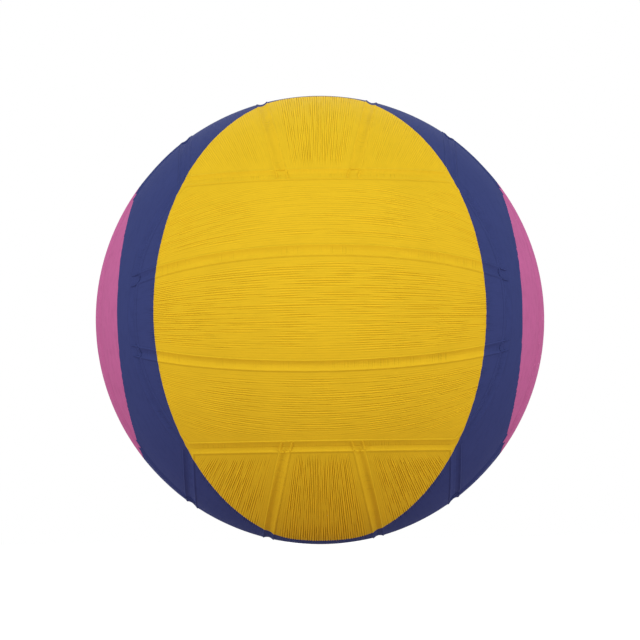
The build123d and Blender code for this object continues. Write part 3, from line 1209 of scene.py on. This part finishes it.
def floor_material(studio):
    """A floor that looks white, keeps shadows and throws a soft light up at the ball."""
    material, tree, shader = new_material("studio_floor")
    tree.nodes.remove(shader)
    tone = (*studio.floor_tone, 1.0)
    thrown = lifted_diffuse(tree, tone, tone, studio.floor_glow)
    seen = lifted_diffuse(tree, FLOOR_GREY, WHITE, studio.floor_lift)
    seen_or_lit(tree, thrown, seen, "Material Output")
    return material


def white_world(studio):
    """Even white light all round, seen as plain white."""
    world = bpy.data.worlds.new("studio")
    world.use_nodes = True
    tree = world.node_tree
    dome = tree.nodes["Background"]
    dome.inputs["Color"].default_value = WHITE
    dome.inputs["Strength"].default_value = studio.dome_level
    white = new_node(tree, "ShaderNodeBackground", {"Color": WHITE, "Strength": 1.0})
    seen_or_lit(tree, dome.outputs[0], white.outputs[0], "World Output")
    return world


def studio_floor(studio):
    """A square floor under the ball."""
    half = studio.floor_size / 2
    bottom = CAD_BOX[0][2]
    mesh = bpy.data.meshes.new("studio_floor")
    corners = [(-half, -half, bottom), (half, -half, bottom), (half, half, bottom), (-half, half, bottom)]
    mesh.from_pydata(corners, [], [(0, 1, 2, 3)])
    mesh.materials.append(floor_material(studio))
    floor = bpy.data.objects.new("studio_floor", mesh)
    bpy.context.scene.collection.objects.link(floor)


def studio_camera(studio):
    """A camera in front of the ball, a little below its equator."""
    optics = bpy.data.cameras.new("camera")
    optics.lens = studio.lens
    optics.clip_start = studio.camera_near
    camera = bpy.data.objects.new("camera", optics)
    bpy.context.scene.collection.objects.link(camera)
    away = Vector((0, -math.cos(studio.camera_drop), -math.sin(studio.camera_drop)))
    camera.location = away * studio.camera_distance
    aim = away.to_track_quat("Z", "Y") @ Quaternion((0, 0, 1), -studio.camera_roll)
    camera.rotation_euler = aim.to_euler()
    return camera


# Operators


class BALL_OT_front_back_strips(bpy.types.Operator):
    """Builds the strips of the front and back faces"""

    bl_idname = "ball.front_back_strips"
    bl_label = "Front and back strips"

    def execute(self, context):
        build_faces(context, "front", "back")
        return {"FINISHED"}


class BALL_OT_top_bottom_strips(bpy.types.Operator):
    """Builds the strips of the top and bottom faces"""

    bl_idname = "ball.top_bottom_strips"
    bl_label = "Top and bottom strips"

    def execute(self, context):
        build_faces(context, "top", "bottom")
        return {"FINISHED"}


class BALL_OT_left_right_strips(bpy.types.Operator):
    """Builds the strips of the left and right faces"""

    bl_idname = "ball.left_right_strips"
    bl_label = "Left and right strips"

    def execute(self, context):
        build_faces(context, "left", "right")
        return {"FINISHED"}


class BALL_OT_carcass(bpy.types.Operator):
    """Finishes the coat, the winding and the bladder under the cover"""

    bl_idname = "ball.carcass"
    bl_label = "Carcass"

    def execute(self, context):
        colours = context.scene.ball_colours
        dress("carcass_coat", plain_rubber("coat_rubber", colours.coat, roughness=0.7, grain=900))
        dress("winding", wound_thread("winding_nylon", colours.thread))
        dress("bladder", plain_rubber("bladder_butyl", colours.bladder, roughness=0.45, grain=500))
        return {"FINISHED"}


class BALL_OT_valve_housing(bpy.types.Operator):
    """Finishes the valve housing"""

    bl_idname = "ball.valve_housing"
    bl_label = "Valve housing"

    def execute(self, context):
        colours = context.scene.ball_colours
        dress("valve_housing", plain_rubber("housing_butyl", colours.housing, roughness=0.5, grain=1500))
        return {"FINISHED"}


class BALL_OT_valve_plug(bpy.types.Operator):
    """Builds the valve plug"""

    bl_idname = "ball.valve_plug"
    bl_label = "Valve plug"

    def execute(self, context):
        colours = context.scene.ball_colours
        points, faces = turned(plug_profile(context.scene.ball_valve), PLUG_SEGMENTS)
        piece, _ = mesh_piece("valve_plug", points, faces, "plug")
        piece.data.materials.append(plain_rubber("plug_rubber", colours.plug, roughness=0.5, grain=2500))
        return {"FINISHED"}


class BALL_OT_stage(bpy.types.Operator):
    """Sets the floor, the light and the camera"""

    bl_idname = "ball.stage"
    bl_label = "Studio"

    def execute(self, context):
        scene = context.scene
        studio = scene.ball_studio
        studio_floor(studio)
        scene.world = white_world(studio)
        lamp(studio, "front_lamp", studio.key_level, 0.0, studio.lamp_height, studio.lamp_size)
        lamp(studio, "rear_lamp", studio.back_level, math.pi, studio.lamp_height, studio.lamp_size)
        for name, turn in (("left_lamp", -studio.fill_turn), ("right_lamp", studio.fill_turn)):
            lamp(studio, name, studio.fill_level, turn, studio.fill_height, studio.fill_size)
        scene.camera = studio_camera(studio)
        scene.view_settings.view_transform = "Standard"
        return {"FINISHED"}


OPERATORS = (
    BALL_OT_front_back_strips,
    BALL_OT_top_bottom_strips,
    BALL_OT_left_right_strips,
    BALL_OT_carcass,
    BALL_OT_valve_housing,
    BALL_OT_valve_plug,
    BALL_OT_stage,
)
SETTINGS = {
    "ball_cover": BallCoverSizes,
    "ball_valve": BallValveSizes,
    "ball_colours": BallColours,
    "ball_studio": BallStudio,
}


class BALL_PT_sidebar(bpy.types.Panel):
    """Lists the ball's settings and the steps that build it"""

    bl_idname = "BALL_PT_sidebar"
    bl_label = "Water polo ball"
    bl_space_type = "VIEW_3D"
    bl_region_type = "UI"
    bl_category = "Ball"

    def draw(self, context):
        for name, group in SETTINGS.items():
            box = self.layout.box()
            box.label(text=group.__doc__)
            for setting in group.__annotations__:
                box.prop(getattr(context.scene, name), setting)
        for operator in OPERATORS:
            self.layout.operator(operator.bl_idname)


CLASSES = (*SETTINGS.values(), *OPERATORS, BALL_PT_sidebar)


def register():
    """Adds the classes, and the settings on the scene."""
    for cls in CLASSES:
        bpy.utils.register_class(cls)
    for name, group in SETTINGS.items():
        setattr(bpy.types.Scene, name, bpy.props.PointerProperty(type=group))


def unregister():
    """Takes the settings and the classes away again."""
    for name in SETTINGS:
        delattr(bpy.types.Scene, name)
    for cls in reversed(CLASSES):
        bpy.utils.unregister_class(cls)


def main():
    """Builds the whole ball."""
    register()
    for operator in OPERATORS:
        category, name = operator.bl_idname.split(".")
        getattr(getattr(bpy.ops, category), name)()


if __name__ == "__main__":
    main()
